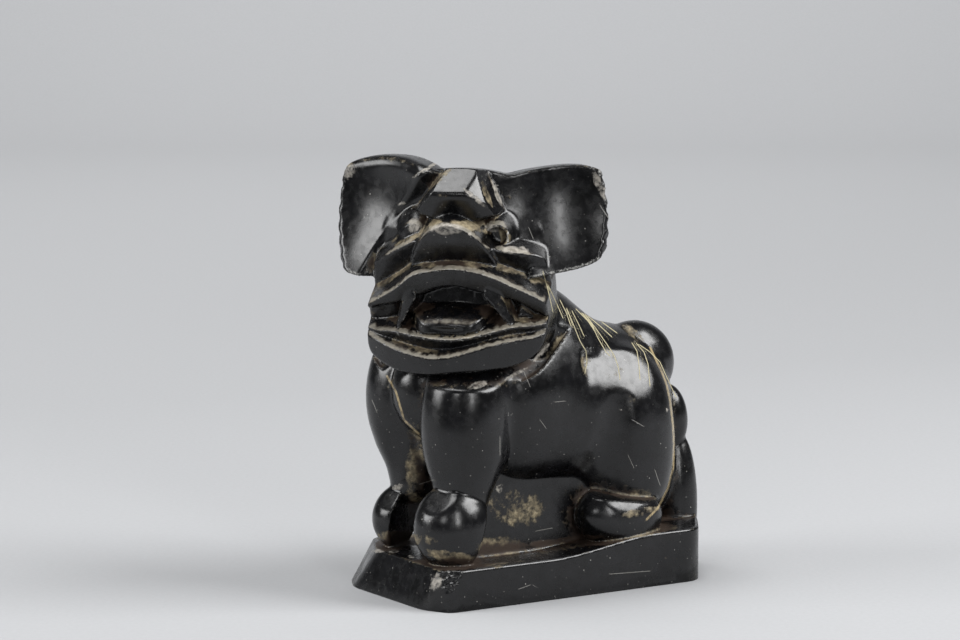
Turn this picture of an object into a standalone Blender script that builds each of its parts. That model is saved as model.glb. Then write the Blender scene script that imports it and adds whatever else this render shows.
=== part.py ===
"""A small lion standing on a low plinth, carved with it from one block of dark stone.

The block's length, width and height drive the lion cut from it. The numbers in the tables
below are shares: 55ths of PLINTH_LENGTH towards the tail, 30ths of PLINTH_WIDTH towards the
lion's right, sixtieths of FIGURE_HEIGHT up from its feet. The head has its own frame:
s across the face, f out of the face, z up.
"""
import bmesh
import bpy
import numpy as np

# Driving sizes, metres and degrees.
PLINTH_LENGTH = 0.0550
PLINTH_WIDTH = 0.0302
PLINTH_FRONT_HEIGHT = 0.0063
PLINTH_REAR_HEIGHT = 0.0084
PLINTH_CORNER_CUT = 0.0095
PLINTH_FRONT_LEAN_DEG = 18.0
PLINTH_EDGE_RADIUS = 0.0005
FIGURE_HEIGHT = 0.0600
FIGURE_SETBACK = 0.0015
HEAD_TURN_DEG = 47.5
EAR_SWEEP_DEG = 27.0
EAR_THICKNESS = 0.0056
EYE_PIT_DIAMETER = 0.0028
EYE_PIT_DEPTH = 0.0018
GRID = 0.0005
TRIANGLES = 9400

BLOCK_SHARES = (55.0, 30.2, 60.0)
UNIT = np.array([PLINTH_LENGTH, PLINTH_WIDTH, FIGURE_HEIGHT]) / np.array(BLOCK_SHARES)
FEET = PLINTH_REAR_HEIGHT / UNIT[2]

# Rounded masses: centre, radii, pitch in degrees, softness of the join to what is there.
TRUNK = (
    ((1.0, 0.0, 19.4), (17.0, 12.6, 13.4), 8.0, 1.0),
    ((-10.0, 0.5, 20.6), (12.0, 12.3, 14.5), 0.0, 5.0),
    ((11.5, 0.0, 18.0), (10.8, 11.2, 12.8), 10.0, 5.0),
    ((-5.0, 0.0, 28.6), (11.5, 10.0, 11.0), 25.0, 6.0),
    ((11.5, -0.5, 9.0), (11.2, 10.4, 13.5), 0.0, 3.0),
)
SHOULDER = ((-10.0, 3.2, 23.0), (9.0, 9.6, 9.5), 0.0, 3.0)
HAUNCH = ((10.6, 8.2, 15.0), (7.6, 5.5, 13.2), -9.0, 2.6)
THIGH_VALLEY = ((5.4, 14.6, 20.5), (3.4, 12.9, 8.0), (1.4, 2.6), 2.6)
HIND_FOOT = ((7.4, 10.6, 2.6), (7.6, 4.6, 5.2), 6.0, 0.6)
HIND_FOOT_TOP = (6.0, (0.1, 0.2, 1.0))
UPPER_FORELEGS = (
    ((-19.3, -8.0, 20.1), (7.0, 6.3, 13.0), 4.0, 1.6),
    ((-19.5, 8.3, 22.0), (6.7, 6.3, 11.4), 4.0, 0.9),
)
BREAST = ((-17.8, 1.2, 23.2), (8.2, 6.2, 8.2), 0.0, 0.6)

# Tapered limbs: start, end, radius at each, softness.
WRISTS = (
    ((-19.0, -8.2, 13.6), (-20.2, -8.7, 8.1), (5.2, 4.1), 2.0),
    ((-19.2, 7.8, 13.6), (-19.6, 6.6, 8.1), (4.7, 3.7), 2.0),
)
TAIL_LOBES = (
    ((23.4, -3.6, 1.5), (3.4, 3.2, 12.0), 0.0, 0.8),
    ((22.2, -3.0, 15.8), (2.9, 3.2, 5.4), -6.0, 0.4),
    ((16.1, -2.0, 25.0), (7.1, 4.6, 6.6), 20.0, 0.35),
)
# Paws: place and top, half length and width, point and normal of the flat cut beside it.
PAWS = (
    ((-22.0, -9.0, 10.2), (6.4, 5.5), (-17.6, -12.0, 8.1), (0.93, -0.25, -0.26)),
    ((-20.6, 6.7, 7.9), (5.8, 5.0), (-25.9, 4.0, 1.3), (0.54, -0.84, -0.175)),
)

# Lines across the face, one height for each station of s.
STATIONS = (-16.0, -12.5, -9.0, -6.0, -3.0, 0.0, 3.0, 6.0, 9.0, 12.5, 16.0)
CHEEK_LINE = (42.8, 44.9, 46.9, 48.4, 49.2, 49.6, 48.8, 47.3, 46.7, 45.9, 44.1)
LIP_LINE = (36.6, 38.7, 40.8, 43.1, 43.9, 44.3, 44.0, 43.1, 41.6, 39.6, 37.0)
MOUTH_TOP = (35.6, 37.0, 37.7, 38.7, 40.0, 40.6, 39.9, 39.1, 38.5, 36.4, 34.1)
MOUTH_FLOOR = (34.2, 33.8, 33.9, 33.5, 33.2, 33.1, 33.5, 34.2, 34.7, 34.8, 35.6)
LOWER_LIP = (34.8, 34.0, 34.1, 33.7, 33.4, 33.3, 33.7, 34.4, 35.1, 35.2, 36.0)
BEARD_LINE = (34.2, 33.1, 31.9, 31.2, 30.8, 31.1, 31.9, 32.8, 33.4, 33.9, 35.2)
CHIN_LINE = (31.6, 28.9, 27.4, 27.1, 27.1, 27.4, 27.6, 27.9, 28.3, 30.2, 35.6)

# The head's half width and its depth behind the middle, one for each level of z.
LEVELS = (25.6, 29.6, 35.6, 41.6, 46.6, 51.6, 57.6, 62.0)
HEAD_HALF_WIDTH = (13.8, 14.0, 14.1, 13.7, 12.8, 11.2, 9.0, 7.0)
HEAD_BACK = (10.5, 12.0, 13.0, 13.2, 12.6, 11.4, 9.2, 6.5)
HEAD_MIDDLE = (-14.9, -1.0, 0.0)

# Carved steps of the face: level, rise, width of the ledge, fall of the face below it, softness.
CHEEK_STEP = (-2.7, 2.6, 1.4, 0.75, 0.5)
LIP_STEP = (0.2, 2.7, 1.1, 0.75, 0.5)
LOWER_LIP_STEP = (0.3, 2.1, 0.9, 0.9, 0.5)
BEARD_STEP = (0.9, 2.4, 1.2, 0.32, 0.5)

# Fangs: root, tip, height over the face's ground, half width at the root.
FANGS = (
    ((-6.6, 38.9), (-8.6, 34.1), 1.4, 1.1),
    ((6.0, 39.4), (8.6, 35.0), 1.5, 1.2),
)
EYE_PIT_PLACE = (6.1, 47.6)

# Ears: side, middle, half sizes, inner edge's point and normal, outer end, dip at the root,
# tilt of the outer end upwards, height and place of the arched top, bevel of the broken end.
EARS = (
    (-1.0, (6.0, 50.0), (11.6, 9.4), (5.8, 50.2), (-0.80, -0.60), 16.9, 0.0, 0.0, (59.3, 7.5), 0.9),
    (1.0, (8.2, 49.6), (11.0, 8.0), (3.4, 49.0), (-0.91, -0.41), 18.6, 2.2, 0.13, (60.5, 9.0), 0.3),
)


def blend(first, second, softness):
    """Join two forms with a soft valley between them."""
    reach = np.maximum(softness - np.abs(first - second), 0.0) / softness
    return np.minimum(first, second) - reach * reach * softness * 0.25


def both(first, second, softness):
    """What two forms share, with the edge between them eased."""
    return -blend(-first, -second, softness)


def ramp(value, low, high):
    """A smooth step from 0 at low to 1 at high."""
    share = np.clip((value - low) / (high - low), 0.0, 1.0)
    return share * share * (3.0 - 2.0 * share)


def through(value, places, heights):
    """A smooth line through heights given at places."""
    x = np.asarray(places, float)
    y = np.asarray(heights, float)
    slope = np.gradient(y, x)
    i = np.clip(np.searchsorted(x, value) - 1, 0, len(x) - 2)
    gap = x[i + 1] - x[i]
    t = np.clip((value - x[i]) / gap, 0.0, 1.0)
    start = (2 * t**3 - 3 * t**2 + 1) * y[i] + (t**3 - 2 * t**2 + t) * gap * slope[i]
    end = (3 * t**2 - 2 * t**3) * y[i + 1] + (t**3 - t**2) * gap * slope[i + 1]
    return start + end


def pitched(degrees):
    """The 3 by 3 turn about the y axis."""
    angle = np.radians(degrees)
    c = np.cos(angle)
    s = np.sin(angle)
    return np.array([[c, 0.0, s], [0.0, 1.0, 0.0], [-s, 0.0, c]])


def mass(p, centre, radii, pitch):
    """Distance to an ellipsoid."""
    q = (p - np.array(centre)) @ pitched(pitch)
    r = np.array(radii)
    near = np.sqrt(((q / r) ** 2).sum(1))
    far = np.sqrt(((q / r**2) ** 2).sum(1))
    return near * (near - 1.0) / np.maximum(far, 1e-6)


def limb(p, start, end, radii):
    """Distance to a round limb that tapers from one radius to the other."""
    a = np.array(start)
    run = np.array(end) - a
    t = np.clip((p - a) @ run / (run @ run), 0.0, 1.0)
    return np.linalg.norm(p - a - t[:, None] * run, axis=1) - (radii[0] + (radii[1] - radii[0]) * t)


def block(p, centre, half, radius):
    """Distance to a block with rounded edges."""
    q = np.abs(p - np.array(centre)) - (np.array(half) - radius)
    return np.linalg.norm(np.maximum(q, 0.0), axis=1) + np.minimum(q.max(1), 0.0) - radius


def plane(p, point, normal):
    """Distance past a plane, on the side its normal points to."""
    n = np.array(normal, float)
    return (p - np.array(point)) @ (n / np.linalg.norm(n))


def mirrored(centre, side):
    """The same place on the other flank."""
    return (centre[0], centre[1] * side, centre[2])


def plinth(p):
    """The low block underfoot: front leaning back, rear corners cut, top rising to the rear."""
    half = np.array([PLINTH_LENGTH, PLINTH_WIDTH]) / 2.0 / UNIT[:2]
    edge = PLINTH_EDGE_RADIUS / UNIT[2]
    cut = PLINTH_CORNER_CUT / UNIT[0]
    lean = np.tan(np.radians(PLINTH_FRONT_LEAN_DEG))
    z = p[:, 2] + FEET
    q = np.stack([p[:, 0] + FIGURE_SETBACK / UNIT[0], p[:, 1], z], 1)
    front = PLINTH_FRONT_HEIGHT / UNIT[2]
    top = front + (FEET - front) * ramp(q[:, 0], -0.25 * half[0], 0.5 * half[0])
    d = block(q, (0.0, 0.0, 0.0), (half[0], half[1], 4.0 * FEET), 2.0 * edge)
    d = both(d, plane(q, (-half[0] + 1.2, -half[1] + 2.6, 0.0), (-1.0, -0.55, 0.0)), 1.0)
    d = both(d, plane(q, (half[0], -half[1] + cut, 0.0), (0.83, -0.56, 0.0)), 2.0)
    d = both(d, plane(q, (half[0], half[1] - 0.5 * cut, 0.0), (0.7, 0.7, 0.0)), 2.0)
    d = both(d, plane(q, (-half[0], 0.0, 0.0), (-1.0, 0.0, lean)), 0.8)
    d = both(d, plane(q, (-half[0] + 1.4, half[1] - 3.1, 0.0), (-0.85, 0.45, 0.55)), 0.8)
    return both(d, z - top, edge)


def trunk(p):
    """Barrel, chest, rump, withers, haunches and the upper forelegs."""
    d = mass(p, *TRUNK[0][:3])
    for centre, radii, pitch, softness in TRUNK[1:]:
        d = blend(d, mass(p, centre, radii, pitch), softness)
    for side in (-1.0, 1.0):
        for centre, radii, pitch, softness in (SHOULDER, HAUNCH):
            d = blend(d, mass(p, mirrored(centre, side), radii, pitch), softness)
    for side in (-1.0, 1.0):
        start, end, radii, softness = THIGH_VALLEY
        d = both(d, -limb(p, mirrored(start, side), mirrored(end, side), radii), softness)
    for centre, radii, pitch, softness in UPPER_FORELEGS:
        d = blend(d, mass(p, centre, radii, pitch), softness)
    for start, end, radii, softness in WRISTS:
        d = blend(d, limb(p, start, end, radii), softness)
    centre, radii, pitch, softness = BREAST
    return blend(d, mass(p, centre, radii, pitch), softness)


def feet(p, d):
    """Paws with a flat worn place on top, tail lobes one above the other."""
    sole = PLINTH_FRONT_HEIGHT / UNIT[2] - FEET - 1.1
    for (x, y, top), (length, width), point, normal in PAWS:
        centre = (x, y, 0.5 * (top + sole))
        paw = mass(p, centre, (length, width, 0.5 * (top - sole)), 0.0)
        paw = both(paw, plane(p, (x - 3.4, y - 1.2, top - 2.0), (-0.62, -0.30, 0.72)), 0.3)
        d = blend(d, both(paw, plane(p, point, normal), 0.4), 0.4)
    for side in (-1.0, 1.0):
        centre, radii, pitch, softness = HIND_FOOT
        foot = mass(p, mirrored(centre, side), radii, pitch)
        height, slope = HIND_FOOT_TOP
        foot = both(foot, plane(p, (centre[0], centre[1] * side, height), mirrored(slope, side)), 0.4)
        d = blend(d, foot, softness)
    for centre, radii, pitch, softness in TAIL_LOBES:
        d = blend(d, mass(p, centre, radii, pitch), softness)
    return d


def step(depth, base, sizes):
    """A ledge that rises outwards below its line, then a face falling back."""
    level, rise, ledge, fall, softness = sizes
    return base + level + blend(rise / ledge * depth, rise - fall * (depth - ledge), softness)


def ridge(s, z, start, end):
    """Distance across a straight ridge and the share run along it."""
    a = np.array(start)
    run = np.array(end) - a
    t = np.clip(((s - a[0]) * run[0] + (z - a[1]) * run[1]) / (run @ run), 0.0, 1.0)
    return np.hypot(s - a[0] - t * run[0], z - a[1] - t * run[1]), t


def proud(first, second, softness):
    """The higher of two levels, with the corner between them eased."""
    return -blend(-first, -second, softness)


def muzzle(s, z, base):
    """Forehead boss, cheeks, nose and upper lip, each a step over the one behind."""
    side = np.abs(s - 0.6)
    level = base - 5.2 + 1.6 * ramp(52.0 - z, 0.0, 4.0)
    lid = np.hypot(np.abs(s + 0.4) - 6.5, 0.9 * (z - 47.6))
    level = proud(level, base - 1.8 - 1.6 * np.maximum(lid - 1.7, 0.0), 0.5)
    flanks = both(0.60 * (z - 51.6) - 0.80 * (s + 6.9), 0.43 * (z - 52.9) + 0.90 * (s - 6.4), 2.0)
    boss = blend(-6.0 * flanks, 7.6 - 0.62 * np.maximum(54.6 - z, 0.0), 0.4)
    boss = blend(boss, 7.8 - 1.10 * np.maximum(z - 54.2, 0.0), 0.25)
    right_facet = 0.65 * (s - 3.9) + 0.76 * (z - 53.9)
    boss = blend(boss, 7.2 - 1.0 * np.maximum(right_facet + 0.5, 0.0), 0.25) + base - 5.2
    boss = boss - 8.0 * ramp(50.3 + 0.03 * side**2 - z, 0.0, 0.6)
    level = proud(level, boss, 0.3)
    line = through(s, STATIONS, CHEEK_LINE)
    level = proud(level, step(line - z, base, CHEEK_STEP), 0.3)
    dome = 1.0 - (np.abs(s + 0.2) / 6.7) ** 1.8 - np.abs(np.maximum(z - 43.2, 0.0) / 8.7) ** 1.6
    nose = base - 1.2 + blend(17.0 * dome, 5.6 - 0.75 * (50.0 - z), 0.5)
    level = proud(level, nose, 0.2)
    line = through(s, STATIONS, LIP_LINE)
    return proud(level, step(line - z, base, LIP_STEP), 0.25)


def mouth(s, z, base, level):
    """The open mouth with tongue, a fang each side and a corner tooth."""
    top = through(s, STATIONS, MOUTH_TOP)
    inside = np.minimum(top - z, z - through(s, STATIONS, MOUTH_FLOOR))
    deep = 3.4 - 2.0 * ramp(np.abs(s + 0.2), 7.6, 9.4)
    hollow = proud(level - deep * ramp(inside, 0.0, 0.55), base - 2.6, 0.2)
    dome = 1.0 - (np.abs(s + 0.6) / 6.2) ** 2.4
    depth = np.minimum(37.2 - 0.02 * (s + 0.6) ** 2 - z, 3.2 * dome)
    swell = 3.6 - 3.6 * np.clip(1.0 - depth / 2.8, 0.0, 1.6) ** 2 - 1.2 * np.maximum(depth - 2.8, 0.0)
    hollow = proud(hollow, base - 1.6 + blend(swell, 6.0 * dome, 0.3), 0.2)
    tooth = np.minimum(z - 34.8, 38.1 - z - np.maximum(s - 9.8, 0.0))
    tooth = np.minimum(tooth, s - 8.7 - 0.25 * (z - 34.8))
    hollow = proud(hollow, base - 1.6 + np.minimum(2.2 * tooth, 1.7), 0.2)
    level = np.where(inside > 0.0, hollow, level)
    for start, end, height, width in FANGS:
        across, along = ridge(s, z, start, end)
        fang = base + height - 5.0 * np.maximum(across - width * (1.0 - 0.7 * along), 0.0)
        level = proud(level, fang, 0.2)
    return level


def face(s, z):
    """How far the carved face stands out at each place."""
    base = 10.4 - 0.030 * s * s
    level = mouth(s, z, base, muzzle(s, z, base))
    line = through(s, STATIONS, LOWER_LIP)
    level = proud(level, step(line - z, base, LOWER_LIP_STEP), 0.25)
    line = through(s, STATIONS, BEARD_LINE)
    level = proud(level, step(line - z, base, BEARD_STEP), 0.25)
    radius = EYE_PIT_DIAMETER / 2.0 / UNIT[2]
    pit = ramp(radius + 0.2 - np.hypot(s - EYE_PIT_PLACE[0], z - EYE_PIT_PLACE[1]), 0.0, 0.4)
    return level - EYE_PIT_DEPTH / UNIT[0] * pit


def head_frame(p):
    """Places in the head's own frame."""
    turn = np.radians(HEAD_TURN_DEG)
    q = p - np.array(HEAD_MIDDLE)
    s = q @ np.array([np.sin(turn), -np.cos(turn), 0.0])
    f = q @ np.array([-np.cos(turn), -np.sin(turn), 0.0])
    return s, f, q[:, 2]


def jaw(s, z):
    """The outline of the head seen from the front, lower part."""
    chin = through(s, STATIONS, CHIN_LINE)
    return both(chin - z, np.abs(s) - through(z, LEVELS, HEAD_HALF_WIDTH), 1.5)


def head(s, f, z):
    """The skull block with the face carved on its front."""
    wide = through(z, LEVELS, HEAD_HALF_WIDTH)
    deep = through(z, LEVELS, HEAD_BACK)
    behind = np.maximum(-f, 0.0) / deep
    ahead = np.maximum(f, 0.0) / (deep + 7.0)
    round_off = (np.abs(s / wide) ** 2.6 + behind**2.3 + ahead**3.2) ** (1.0 / 2.6)
    d = (round_off - 1.0) * 9.0
    d = both(d, jaw(s, z), 0.5)
    top = 57.4 + 0.09 * f - 0.022 * (s - 0.5) ** 2 - 0.05 * np.maximum(-f, 0.0) ** 1.6
    d = both(d, z - top, 1.2)
    return both(d, (f - face(s, z)) * 0.72, 0.25)


def ear(s, f, z, side, middle, half, edge, normal, end, dip, tilt, arch, broken):
    """A slab swept back from the head, dished in front, its outer end broken off."""
    sweep = np.radians(EAR_SWEEP_DEG)
    out = (s - 6.0 * side) * side
    back = f - 7.2
    u = out * np.cos(sweep) - back * np.sin(sweep)
    w = out * np.sin(sweep) + back * np.cos(sweep)
    upright = z - tilt * (u - middle[0])
    round_off = np.abs((u - middle[0]) / half[0]) ** 3.2 + np.abs((upright - middle[1]) / half[1]) ** 3.2
    d = (round_off ** (1.0 / 3.2) - 1.0) * min(half)
    leaning = w + 0.16 * (z - 50.0)
    cup = np.clip(1.0 - ((u - 9.0) / 10.0) ** 2 - ((z - 51.0) / 12.0) ** 2, 0.0, 1.0)
    front = leaning - 0.8 + 2.8 * cup + dip * np.clip(1.0 - (u - 1.0) / 6.0, 0.0, 1.5) ** 2
    inner = (u - edge[0]) * normal[0] + (z - edge[1]) * normal[1] - 0.02 * (z - edge[1]) ** 2
    d = both(d, inner + 0.8 * np.minimum(front, 0.0), 0.3)
    outer = u - end + 0.012 * (z - 48.0) ** 2
    d = both(d, outer, 0.4)
    d = both(d, 0.7 * (outer + w) + broken, 0.5)
    arched = both(z - arch[0] + 0.022 * (u - arch[1]) ** 2, front, 2.2)
    d = both(d, arched, 0.4)
    return both(d, -leaning - EAR_THICKNESS / UNIT[0] + 0.02 * (u - 6.0) ** 2, 2.0)


def figure(p):
    """Distance to the whole stone, p in units from the lion's feet."""
    s, f, z = head_frame(p)
    d = trunk(p)
    reach = np.clip(0.3 + 0.65 * (f - 10.8 + 0.085 * s * s), 0.0, 3.0)
    collar = jaw(s, z) - reach
    d = both(d, -0.7 * both(collar, 6.0 - 0.036 * s * s - f, 0.4), 0.3)
    d = feet(p, d)
    d = np.minimum(d, block(p, (-1.6, 0.0, 2.0), (16.4, 8.0, 11.0), 1.0))
    d = blend(d, head(s, f, z), 0.5)
    for values in EARS:
        d = blend(d, ear(s, f, z, *values), 0.4)
    return blend(d, plinth(p), 0.5)


def to_units(points):
    """Metres in the object's frame to units from the lion's feet."""
    return (points - np.array([FIGURE_SETBACK, 0.0, PLINTH_REAR_HEIGHT])) / UNIT


def grid_axes():
    """Evenly spaced planes along x, y and z that hold the whole stone, in metres."""
    half = np.array([PLINTH_LENGTH / 2.0 + 4.0 * UNIT[0], PLINTH_WIDTH / 2.0 + 5.0 * UNIT[1]])
    low = np.array([-half[0], -half[1], -2.5 * GRID])
    high = np.array([half[0], half[1], PLINTH_REAR_HEIGHT + 1.04 * FIGURE_HEIGHT])
    counts = 4 * np.ceil((high - low) / GRID / 4.0).astype(int) + 1
    return [low[i] + GRID * np.arange(counts[i]) for i in range(3)]


def sample(axes):
    """Distance to the stone at every crossing of the planes, in units."""
    crossings = np.stack(np.meshgrid(*axes, indexing="ij"), -1)
    coarse = figure(to_units(crossings[::4, ::4, ::4].reshape(-1, 3)))
    coarse = coarse.reshape([len(axis[::4]) for axis in axes])
    values = coarse
    for i in range(3):
        values = np.apply_along_axis(lambda line: np.interp(
            np.arange(4 * len(line) - 3) / 4.0, np.arange(len(line)), line), i, values)
    near = np.abs(values) < 7.0 * GRID / UNIT.min()
    values[near] = figure(to_units(crossings[near]))
    return values


def link(tree, node_type, inputs, **settings):
    """Add a node, set its sockets from values or other nodes' outputs, and return it."""
    node = tree.nodes.new(node_type)
    for name, value in settings.items():
        setattr(node, name, value)
    for key, value in inputs.items():
        if isinstance(value, bpy.types.NodeSocket):
            tree.links.new(value, node.inputs[key])
        else:
            node.inputs[key].default_value = value
    return node


def skin_group(axes):
    """Nodes that fill a volume from the stored depths and skin it where the depth is nil."""
    tree = bpy.data.node_groups.new("stone_skin", "GeometryNodeTree")
    tree.interface.new_socket("Geometry", in_out="INPUT", socket_type="NodeSocketGeometry")
    tree.interface.new_socket("Geometry", in_out="OUTPUT", socket_type="NodeSocketGeometry")
    low = [float(axis[0]) for axis in axes]
    high = [float(axis[-1]) for axis in axes]
    counts = [len(axis) for axis in axes]
    store = link(tree, "NodeGroupInput", {})
    place = link(tree, "GeometryNodeInputPosition", {})
    parts = link(tree, "ShaderNodeSeparateXYZ", {0: place.outputs[0]})
    rank = None
    for i in range(3):
        away = link(tree, "ShaderNodeMath", {0: parts.outputs[i], 1: low[i]}, operation="SUBTRACT")
        order = link(tree, "ShaderNodeMath", {0: away.outputs[0], 1: GRID}, operation="DIVIDE")
        order = link(tree, "ShaderNodeMath", {0: order.outputs[0]}, operation="ROUND")
        if rank is not None:
            order = link(tree, "ShaderNodeMath", {0: rank, 1: float(counts[i]), 2: order.outputs[0]},
                         operation="MULTIPLY_ADD")
        rank = order.outputs[0]
    depth = link(tree, "GeometryNodeInputNamedAttribute", {0: "depth"}, data_type="FLOAT")
    picked = link(tree, "GeometryNodeSampleIndex",
                  {0: store.outputs[0], 1: depth.outputs[0], "Index": rank},
                  data_type="FLOAT", domain="POINT", clamp=True)
    cube = link(tree, "GeometryNodeVolumeCube", {
        "Density": picked.outputs[0], "Min": low, "Max": high,
        "Resolution X": counts[0], "Resolution Y": counts[1], "Resolution Z": counts[2]})
    skin = link(tree, "GeometryNodeVolumeToMesh", {0: cube.outputs[0], "Threshold": 0.5})
    link(tree, "NodeGroupOutput", {0: skin.outputs[0]})
    return tree


def stone_block():
    """The stone as one closed skin of small even faces."""
    axes = grid_axes()
    depth = np.clip(0.5 - sample(axes) * UNIT.mean() / GRID / 4.0, 0.0, 1.0)
    mesh = bpy.data.meshes.new("stone_lion")
    mesh.vertices.add(depth.size)
    mesh.attributes.new("depth", "FLOAT", "POINT").data.foreach_set("value", depth.ravel())
    stone = bpy.data.objects.new("stone_lion", mesh)
    group = bpy.data.collections.new("stone_lion")
    bpy.context.scene.collection.children.link(group)
    group.objects.link(stone)
    stone.modifiers.new("skin", "NODES").node_group = skin_group(axes)
    apply_modifiers(stone)
    return stone


def saw_flat(stone):
    """Cut the stone off at the ground and close it with one flat face."""
    cut = bmesh.new()
    cut.from_mesh(stone.data)
    everything = cut.verts[:] + cut.edges[:] + cut.faces[:]
    sawn = bmesh.ops.bisect_plane(cut, geom=everything, plane_co=(0.0, 0.0, 0.0), plane_no=(0.0, 0.0, -1.0),
                                  dist=1e-6, clear_outer=True)
    rim = [part for part in sawn["geom_cut"] if isinstance(part, bmesh.types.BMEdge)]
    bmesh.ops.edgeloop_fill(cut, edges=rim)
    bmesh.ops.recalc_face_normals(cut, faces=cut.faces[:])
    cut.to_mesh(stone.data)
    cut.free()


def apply_modifiers(stone):
    """Bake the modifiers into the object's own mesh."""
    graph = bpy.context.evaluated_depsgraph_get()
    mesh = bpy.data.meshes.new_from_object(stone.evaluated_get(graph))
    stone.modifiers.clear()
    stone.data = mesh
    return mesh


def black_stone():
    """Dark fine-grained stone, rubbed to a low polish."""
    stone = bpy.data.materials.new("polished_dark_stone")
    stone.use_nodes = True
    shader = stone.node_tree.nodes["Principled BSDF"]
    shader.inputs["Base Color"].default_value = (0.012, 0.012, 0.013, 1.0)
    shader.inputs["Roughness"].default_value = 0.35
    return stone


for old in list(bpy.data.objects):
    bpy.data.objects.remove(old, do_unlink=True)

lion = stone_block()
thin = lion.modifiers.new("fewer_faces", "DECIMATE")
thin.ratio = TRIANGLES / sum(len(facet.vertices) - 2 for facet in lion.data.polygons)
apply_modifiers(lion)
saw_flat(lion)
lion.data.shade_smooth()
lion.data.materials.clear()
lion.data.materials.append(black_stone())
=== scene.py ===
"""Looks of a small lion carved with its plinth from one block of black stone.

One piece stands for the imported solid: the same forms cut finer, then chips, worn edges and
dust. The carved forms are in millimetres from the lion's feet, everything else in metres.
"""

import bmesh
import bpy
import numpy as np
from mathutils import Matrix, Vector


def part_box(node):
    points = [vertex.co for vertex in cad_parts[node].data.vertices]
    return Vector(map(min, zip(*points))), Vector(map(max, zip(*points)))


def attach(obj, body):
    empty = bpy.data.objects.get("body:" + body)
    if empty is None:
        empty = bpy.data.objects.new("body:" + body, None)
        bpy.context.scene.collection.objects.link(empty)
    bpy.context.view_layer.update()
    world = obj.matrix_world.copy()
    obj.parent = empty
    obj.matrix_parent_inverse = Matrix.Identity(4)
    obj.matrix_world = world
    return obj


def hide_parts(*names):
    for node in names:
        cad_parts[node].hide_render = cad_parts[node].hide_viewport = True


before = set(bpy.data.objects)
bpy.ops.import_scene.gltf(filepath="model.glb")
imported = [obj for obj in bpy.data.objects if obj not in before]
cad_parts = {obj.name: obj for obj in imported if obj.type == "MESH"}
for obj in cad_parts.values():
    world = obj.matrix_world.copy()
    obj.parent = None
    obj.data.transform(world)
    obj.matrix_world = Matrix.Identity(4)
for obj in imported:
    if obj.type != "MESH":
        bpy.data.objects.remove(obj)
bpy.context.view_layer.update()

# The stone's form: one block, sawn for the plinth and cut with a flat chisel and a graver.
# Every form is a distance, in millimetres, worked out for whole arrays of places at once.
# The lion's own numbers are x towards the tail, y towards its right, z up from its feet.
MM = 0.001
PLINTH_SIZE = (55.0, 30.2)
PLINTH_FRONT = 6.3
PLINTH_REAR = 8.4
SETBACK = 1.5
PLINTH_CORNER_CUT = 9.5
PLINTH_FRONT_LEAN_DEG = 18.0
PLINTH_EDGE_RADIUS = 0.35
HEAD_TURN_DEG = 47.5
EAR_SWEEP_DEG = 27.0
EAR_THICKNESS = 5.6
EYE_PIT_DIAMETER = 2.8
EYE_PIT_DEPTH = 1.8


def blend(first, second, softness):
    """Join two forms with a soft valley between them."""
    reach = np.maximum(softness - np.abs(first - second), 0.0) / softness
    return np.minimum(first, second) - reach * reach * softness * 0.25


def both(first, second, softness):
    """What two forms share, with the edge between them eased."""
    return -blend(-first, -second, softness)


def ramp(value, low, high):
    """A smooth step from 0 at low to 1 at high."""
    share = np.clip((value - low) / (high - low), 0.0, 1.0)
    return share * share * (3.0 - 2.0 * share)


def through(value, places, heights):
    """A smooth line through heights given at places."""
    x = np.asarray(places, float)
    y = np.asarray(heights, float)
    slope = np.gradient(y, x)
    i = np.clip(np.searchsorted(x, value) - 1, 0, len(x) - 2)
    gap = x[i + 1] - x[i]
    t = np.clip((value - x[i]) / gap, 0.0, 1.0)
    start = (2 * t**3 - 3 * t**2 + 1) * y[i] + (t**3 - 2 * t**2 + t) * gap * slope[i]
    end = (3 * t**2 - 2 * t**3) * y[i + 1] + (t**3 - t**2) * gap * slope[i + 1]
    return start + end


def mass(p, centre, radii, pitch):
    """Distance to an ellipsoid turned by pitch about the y axis."""
    angle = np.radians(pitch)
    c, s = np.cos(angle), np.sin(angle)
    q = (p - np.array(centre)) @ np.array([[c, 0.0, s], [0.0, 1.0, 0.0], [-s, 0.0, c]])
    r = np.array(radii)
    near = np.sqrt(((q / r) ** 2).sum(1))
    far = np.sqrt(((q / r**2) ** 2).sum(1))
    return near * (near - 1.0) / np.maximum(far, 1e-6)


def limb(p, start, end, radii):
    """Distance to a round limb that tapers from one radius to the other."""
    a = np.array(start)
    run = np.array(end) - a
    t = np.clip((p - a) @ run / (run @ run), 0.0, 1.0)
    return np.linalg.norm(p - a - t[:, None] * run, axis=1) - (radii[0] + (radii[1] - radii[0]) * t)


def block(p, centre, half, radius):
    """Distance to a block with rounded edges."""
    q = np.abs(p - np.array(centre)) - (np.array(half) - radius)
    return np.linalg.norm(np.maximum(q, 0.0), axis=1) + np.minimum(q.max(1), 0.0) - radius


def plane(p, point, normal):
    """Distance past a plane, on the side its normal points to."""
    n = np.array(normal, float)
    return (p - np.array(point)) @ (n / np.linalg.norm(n))


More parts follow.
